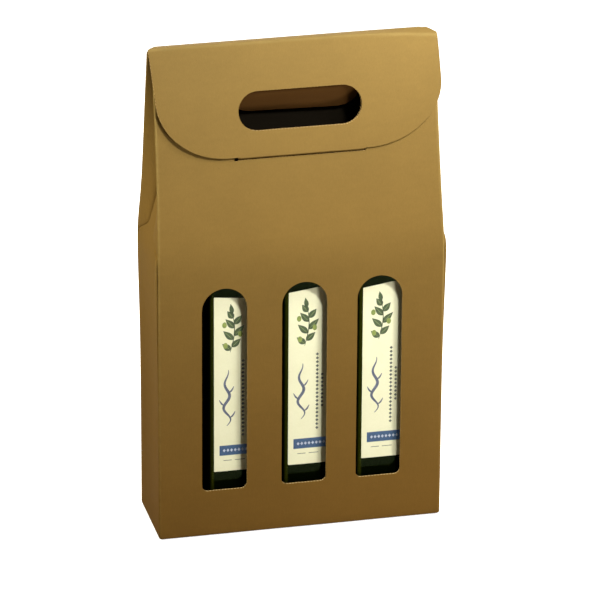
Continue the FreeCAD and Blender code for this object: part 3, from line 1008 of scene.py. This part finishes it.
def flap_line(x, drop):
    """Point y, z of the flap's outer face over the strip, the eased fold and the plate."""
    back, fold = strip_ends(x)
    start = FOLD_DROP + fold_sag(x)

    def sharp_line(d):
        if d > start:
            return plate_point(d, flap_lift(x, d) * smooth((d - start) / 12.0))
        t = (d - FOLD_DROP + STRIP) / (start - FOLD_DROP + STRIP)
        return (lerp(back[0], fold[0], t), lerp(back[1], fold[1], t))

    if abs(drop - start) >= FOLD_EASE:
        return sharp_line(drop)
    a, c = sharp_line(start - FOLD_EASE), sharp_line(start + FOLD_EASE)
    t = (drop - start + FOLD_EASE) / (2.0 * FOLD_EASE)
    w0, w1, w2 = (1.0 - t) ** 2, 2.0 * t * (1.0 - t), t * t
    return (w0 * a[0] + w1 * fold[0] + w2 * c[0], w0 * a[1] + w1 * fold[1] + w2 * c[1])


def flap_place(u, v, w):
    """Place of a point of the flap: w is the depth into the card, and the tongue turns inward."""
    drop = -v
    end = FLAP_LENGTH - TONGUE_R
    tongue = drop > end and abs(u - HOLE_X) <= TONGUE_W / 2.0
    along = end if tongue else drop
    ay, az = flap_line(u, along - SLOPE_STEP)
    by, bz = flap_line(u, along + SLOPE_STEP)
    length = math.hypot(by - ay, bz - az)
    dy, dz = (by - ay) / length, (bz - az) / length
    y, z = flap_line(u, along)
    ny, nz = dz, -dy
    if not tongue:
        return (u, y - ny * w, z - nz * w)
    over = drop - end
    quarter = TONGUE_R * math.pi / 2.0
    turn = min(over, quarter) / TONGUE_R
    rest = max(0.0, over - quarter)
    r = TONGUE_R - w
    y += -ny * TONGUE_R + r * (ny * math.cos(turn) + dy * math.sin(turn)) - ny * rest
    z += -nz * TONGUE_R + r * (nz * math.cos(turn) + dz * math.sin(turn)) - nz * rest
    return (u, y, z)


def lid_wear_and_highlight(x, y, z):
    """Worn and pale along the flap's front fold, where a highlight is painted too."""
    fy, fz = strip_ends(x)[1]
    return 0.5 * (1.0 - smooth((math.hypot(y - fy, z - fz) - 0.9) / 1.3))


def make_lid():
    loops = [refine(flap_loop(), 3.0), hole_loop()]
    mats = [KRAFT, KRAFT_BACK, EDGE]
    lid = sheet("lid_card", loops, (4.0, 2.0), flap_place, CARD, mats, "lid", 40.0)
    set_wear_and_highlight(lid.data, lid_wear_and_highlight)
    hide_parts("lid_flap")


def crease_ring(x):
    """Section of the folded card between the back panel and the flap, across the ridge."""
    (by, bz), (fy, fz) = strip_ends(x)
    slope = math.atan2(bz - fz, by - fy)
    inner_y = by + CARD * math.sin(slope) + CREASE_GAP
    inner_z = bz - CARD * math.cos(slope)
    out = RIDGE_HALF + REAR_BOW_SHARE * face_bow(x, RIDGE)
    rim = RIDGE - ridge_dip(x, out, RIDGE)
    low = rim - 0.3
    foot = rim - 0.9
    rise = smooth((x - CREASE_LEFT) / CREASE_END) * smooth((CREASE_RIGHT - x) / CREASE_END)
    front_y = lerp(inner_y, by + CREASE_GAP, rise ** 2)
    pts = [(out - 0.4, foot), (out, rim - 0.02)]
    for i in range(7):
        a = math.pi / 2.0 * i / 6.0
        y = lerp(front_y, out, math.cos(a))
        z = bz + (y - by) * math.tan(slope) - CREASE_ROUND * (1.0 - math.sin(a))
        pts.append((y, lerp(low, z, rise)))
    pts += [(inner_y, lerp(low, inner_z, rise)), (inner_y, foot)]
    return [(x, y, z) for y, z in pts]


def make_crease():
    """Narrow fold on the carton's ridge behind the flap's strip."""
    rings = [crease_ring(lerp(CREASE_LEFT, CREASE_RIGHT, i / CREASE_STEPS))
             for i in range(CREASE_STEPS + 1)]
    verts, faces = solid_from_rings(rings)
    crease = piece("ridge_crease", verts, faces, [KRAFT], None, "carton", 60.0)


# Labels: outlines are placed from the middle of the label's lower edge


def rounded_loop(x0, y0, x1, y1, r, n=5):
    """Rectangle with rounded corners."""
    pts = arc_points(x1 - r, y0 + r, r, r, -math.pi / 2.0, 0.0, n)
    pts += arc_points(x1 - r, y1 - r, r, r, 0.0, math.pi / 2.0, n)
    pts += arc_points(x0 + r, y1 - r, r, r, math.pi / 2.0, math.pi, n)
    pts += arc_points(x0 + r, y0 + r, r, r, math.pi, 1.5 * math.pi, n)
    return pts


def leaf_loop(cx, cy, length, width, angle, n=14):
    """Pointed leaf outline."""
    c, s = math.cos(angle), math.sin(angle)
    pts = []
    for side in (1, -1):
        for i in range(n):
            t = i / n if side > 0 else 1.0 - i / n
            h = width / 2.0 * math.sin(math.pi * t ** 0.8) * (1.0 - 0.25 * t)
            px, py = t * length, side * h
            pts.append((cx + px * c - py * s, cy + px * s + py * c))
    clean = []
    for p in pts:
        if not clean or math.hypot(p[0] - clean[-1][0], p[1] - clean[-1][1]) > 0.02:
            clean.append(p)
    return clean


def lozenge(cx, cy, rx, ry):
    return [(cx + rx, cy), (cx, cy + ry), (cx - rx, cy), (cx, cy - ry)]


def taper_loop(points, thin, thick):
    """Ribbon along points that is thick in the middle and thin at both ends."""
    left = []
    right = []
    last = len(points) - 1
    for i, (x, y) in enumerate(points):
        ax, ay = points[max(0, i - 1)]
        bx, by = points[min(last, i + 1)]
        d = math.hypot(bx - ax, by - ay)
        w = lerp(thin, thick, math.sin(math.pi * i / last)) / 2.0
        nx, ny = -(by - ay) / d * w, (bx - ax) / d * w
        left.append((x + nx, y + ny))
        right.append((x - nx, y - ny))
    return left + list(reversed(right))


def scroll():
    """Upright tendril: a wavy ribbon that calms towards its top, with three short side shoots."""
    line = []
    for k in range(81):
        t = k / 80.0
        wave = 3.4 * (1.0 - 0.6 * t) * math.sin(4.6 * math.pi * t)
        line.append((-6.2 + wave, 41.0 + 50.0 * t))
    loops = [taper_loop(line, 0.5, 2.5)]
    for k, way in ((12, 1), (30, -1), (48, 1)):
        x, y = line[k]
        shoot = [(x + way * (1.1 * i / 2.0), y + 0.9 * (i / 5.0) ** 2 * 2.2) for i in range(9)]
        loops.append(taper_loop(shoot, 0.4, 1.4))
    return loops


def twig_point(t):
    """Point of the twig's curve, from its foot at 0 to its tip at 1."""
    return (-3.4 + 3.6 * math.sin(t * 2.6), 107.0 + 34.0 * t)


def flat_print(name, loops, x, mat, lift):
    """Printed shapes on a label, as one very thin layer."""
    def place(u, v, w):
        return (x + u, LABEL_FACE - lift + w, LABEL_Z + v)

    verts = []
    faces = []
    for loop in loops:
        base = len(verts)
        points, sides, _ = shell(*loops_mesh([loop], (50.0, 50.0)), place, PRINT_THICK)
        verts += points
        faces += [tuple(i + base for i in face) for face in sides]
    obj = piece(name, verts, faces, [mat], None, "carton", 60.0)


def print_sprig(x, number):
    """Olive twig drawn for this box: a stem, leaves in turn left and right, three fruits."""
    leaves = [taper_loop([twig_point(k / 20.0) for k in range(21)], 0.35, 0.75)]
    veins = []
    for t, side, length in TWIG_LEAVES:
        cx, cy = twig_point(t)
        angle = math.radians(90.0 - side * (50.0 - 14.0 * t))
        leaves.append(leaf_loop(cx, cy, length, 6.0, angle))
        c, s = math.cos(angle), math.sin(angle)
        rib = [(cx + c * length * k / 8.0, cy + s * length * k / 8.0) for k in range(1, 8)]
        veins.append(taper_loop(rib, 0.12, 0.4))
    leaves.append(leaf_loop(*twig_point(1.0), 9.0, 4.2, math.radians(100.0)))
    fruits = [arc_points(cx, cy, 1.9, 2.6, 0.0, 2.0 * math.pi, 24)[:-1] for cx, cy in TWIG_FRUITS]
    flat_print("label_sprig_" + number, leaves, x, LEAF, FIRST_INK)
    flat_print("label_veins_" + number, veins, x, VEIN, SECOND_INK)
    flat_print("label_fruit_" + number, fruits, x, BUD, THIRD_INK)


def make_label(x, number, tops):
    """Paper with a slanting upper edge and rounded corners, and all that is printed on it."""
    half = LABEL_W / 2.0
    loop = []
    for u, v in refine(rounded_loop(-half, 0.0, half, LABEL_H, 0.6), 6.0):
        drop = lerp(tops[0], tops[1], u / LABEL_W + 0.5) if v > LABEL_H / 2.0 else 0.0
        loop.append((u, v - drop))

    def place(u, v, w):
        edge = smooth((abs(u) - 14.5) / 2.0)
        return (x + u, LABEL_FACE + w + 0.12 * edge, LABEL_Z + v)

    mats = [PAPER, PAPER, PAPER]
    label = sheet("label_sheet_" + number, [loop], (4.0, 12.0), place, LABEL_THICK, mats)
    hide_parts("label_" + number)
    band = rounded_loop(-half + 4.6, BAND_LOW, half - 0.4, BAND_HIGH, 0.15, 2)
    marks = [lozenge(-8.4 + 3.1 * k, (BAND_LOW + BAND_HIGH) / 2.0, 1.2, 1.5) for k in range(8)]
    rules = [rounded_loop(x0, 9.4, x1, 9.9, 0.1, 2) for x0, x1 in ((-9.0, -2.0), (0.6, 9.0))]
    rules += [lozenge(7.4, 32.0 + 3.5 * k, 1.35, 1.45) for k in range(20)]
    rules += [lozenge(11.6, 52.0 + 3.5 * k, 1.2, 1.4) for k in range(9)]
    flat_print("label_band_" + number, [band], x, BAND, FIRST_INK)
    flat_print("label_marks_" + number, marks, x, PALE, SECOND_INK)
    flat_print("label_rules_" + number, rules, x, INK, FIRST_INK)
    flat_print("label_scroll_" + number, scroll(), x, SLATE, FIRST_INK)
    print_sprig(x, number)


def make_labels():
    for i, (x, tops) in enumerate(zip(LABEL_X, LABEL_TOP)):
        make_label(x, str(i + 1), tops)


# Plain nodes


def dress(node, mat):
    """Give a node that is shown as its own solid its material."""
    obj = bpy.data.objects[node]
    if not obj.data.materials:
        obj.data.materials.append(mat)
    for slot in obj.material_slots:
        slot.material = mat


def dress_contents():
    # The divider takes the near-black painted shade of the inside too.
    dress("divider", KRAFT_PAINTED_SHADE_INSIDE)
    for i in (1, 2, 3):
        dress("bottle_%d" % i, GLASS)
        dress("oil_%d" % i, OIL)
        dress("pourer_%d" % i, SPOUT)
        dress("cap_%d" % i, CAP)
        dress("neck_seal_%d" % i, SEAL)


# Camera, light and ground


def make_camera():
    a, e, r = map(math.radians, (CAMERA_AZIMUTH, CAMERA_ELEVATION, CAMERA_ROLL))
    back = Vector((math.sin(a) * math.cos(e), -math.cos(a) * math.cos(e), math.sin(e)))
    level = Vector((math.cos(a), math.sin(a), 0.0))
    upright = back.cross(level)
    right = level * math.cos(r) + upright * math.sin(r)
    up = upright * math.cos(r) - level * math.sin(r)
    place = Vector(CAMERA_AIM) + back * CAMERA_DISTANCE
    cam = bpy.data.cameras.new("camera")
    cam.sensor_width = SENSOR
    cam.lens = CAMERA_FOCAL * SENSOR / FRAME_PIXELS
    cam.clip_end = 50.0
    obj = bpy.data.objects.new("camera", cam)
    bpy.context.scene.collection.objects.link(obj)
    rows = [(right[i], up[i], back[i], place[i] * MM) for i in range(3)]
    obj.matrix_world = Matrix(rows + [(0, 0, 0, 1)])
    bpy.context.scene.camera = obj


def lamp(name, place, aim, size, power, colour):
    """Round area lamp that looks from its place to its aim."""
    data = bpy.data.lights.new(name, "AREA")
    data.shape = "DISK"
    data.size = size
    data.energy = power
    data.color = colour
    obj = bpy.data.objects.new(name, data)
    bpy.context.scene.collection.objects.link(obj)
    obj.location = place
    way = Vector(aim) - Vector(place)
    obj.rotation_euler = way.to_track_quat("-Z", "Y").to_euler()


def seen_directly(tree, *more):
    """1 for camera rays, mirrored rays and the further kinds named, 0 for all other rays."""
    path = tree.nodes.new("ShaderNodeLightPath")
    seen = path.outputs["Is Camera Ray"]
    for kind in ("Is Glossy Ray",) + more:
        seen = math_node(tree, "MAXIMUM", seen, path.outputs[kind])
    return seen


def floor_white(name):
    """Shows as a white ground, but sends little and warm light back to the carton."""
    mat, tree, shader = nodes_of(name)
    coord = object_coord(tree)
    cloud = noise(tree, coord, 3.0)
    tone = ramp(tree, cloud, [(0.3, (0.86, 0.86, 0.86)), (0.7, (0.90, 0.90, 0.90))])
    seen = seen_directly(tree)
    tree.links.new(mix(tree, seen, FLOOR_BOUNCE, tone), shader.inputs["Base Color"])
    shader.inputs["Roughness"].default_value = 0.9
    far = tree.nodes.new("ShaderNodeVectorMath")
    far.operation = "LENGTH"
    tree.links.new(coord, far.inputs[0])
    glow = ramp(tree, far.outputs["Value"], [(0.45, (0.80, 0.80, 0.80)), (1.0, (1.0, 1.0, 1.0))])
    shader.inputs["Emission Color"].default_value = (1.0, 1.0, 1.0, 1.0)
    tree.links.new(math_node(tree, "MULTIPLY", seen, glow), shader.inputs["Emission Strength"])
    return mat


def make_floor():
    mesh = bpy.data.meshes.new("floor")
    corners = ((-1, -1), (1, -1), (1, 1), (-1, 1))
    points = [(sx * FLOOR_HALF, sy * FLOOR_HALF, FLOOR_Z) for sx, sy in corners]
    mesh.from_pydata(points, [], [(0, 1, 2, 3)])
    mesh.materials.append(floor_white("floor_white"))
    floor = bpy.data.objects.new("floor", mesh)
    bpy.context.scene.collection.objects.link(floor)


def make_world():
    """White where it is seen, and a faint warm fill for all other rays."""
    world = bpy.data.worlds.new("studio")
    bpy.context.scene.world = world
    world.use_nodes = True
    tree = world.node_tree
    tree.nodes.clear()
    out = tree.nodes.new("ShaderNodeOutputWorld")
    ground = tree.nodes.new("ShaderNodeBackground")
    shown = seen_directly(tree, "Is Transmission Ray")
    gain = math_node(tree, "MULTIPLY", shown, 1.0 - WORLD_FILL)
    tree.links.new(mix(tree, shown, WORLD_WARM, (1.0, 1.0, 1.0)), ground.inputs["Color"])
    tree.links.new(math_node(tree, "ADD", WORLD_FILL, gain), ground.inputs["Strength"])
    tree.links.new(ground.outputs[0], out.inputs[0])


make_carton()
make_tab()
make_crease()
make_lid()
make_labels()
dress_contents()
make_camera()
make_floor()
make_world()
for values in LAMPS:
    lamp(*values)

scene = bpy.context.scene
scene.view_settings.view_transform = "Standard"
bpy.context.view_layer.update()
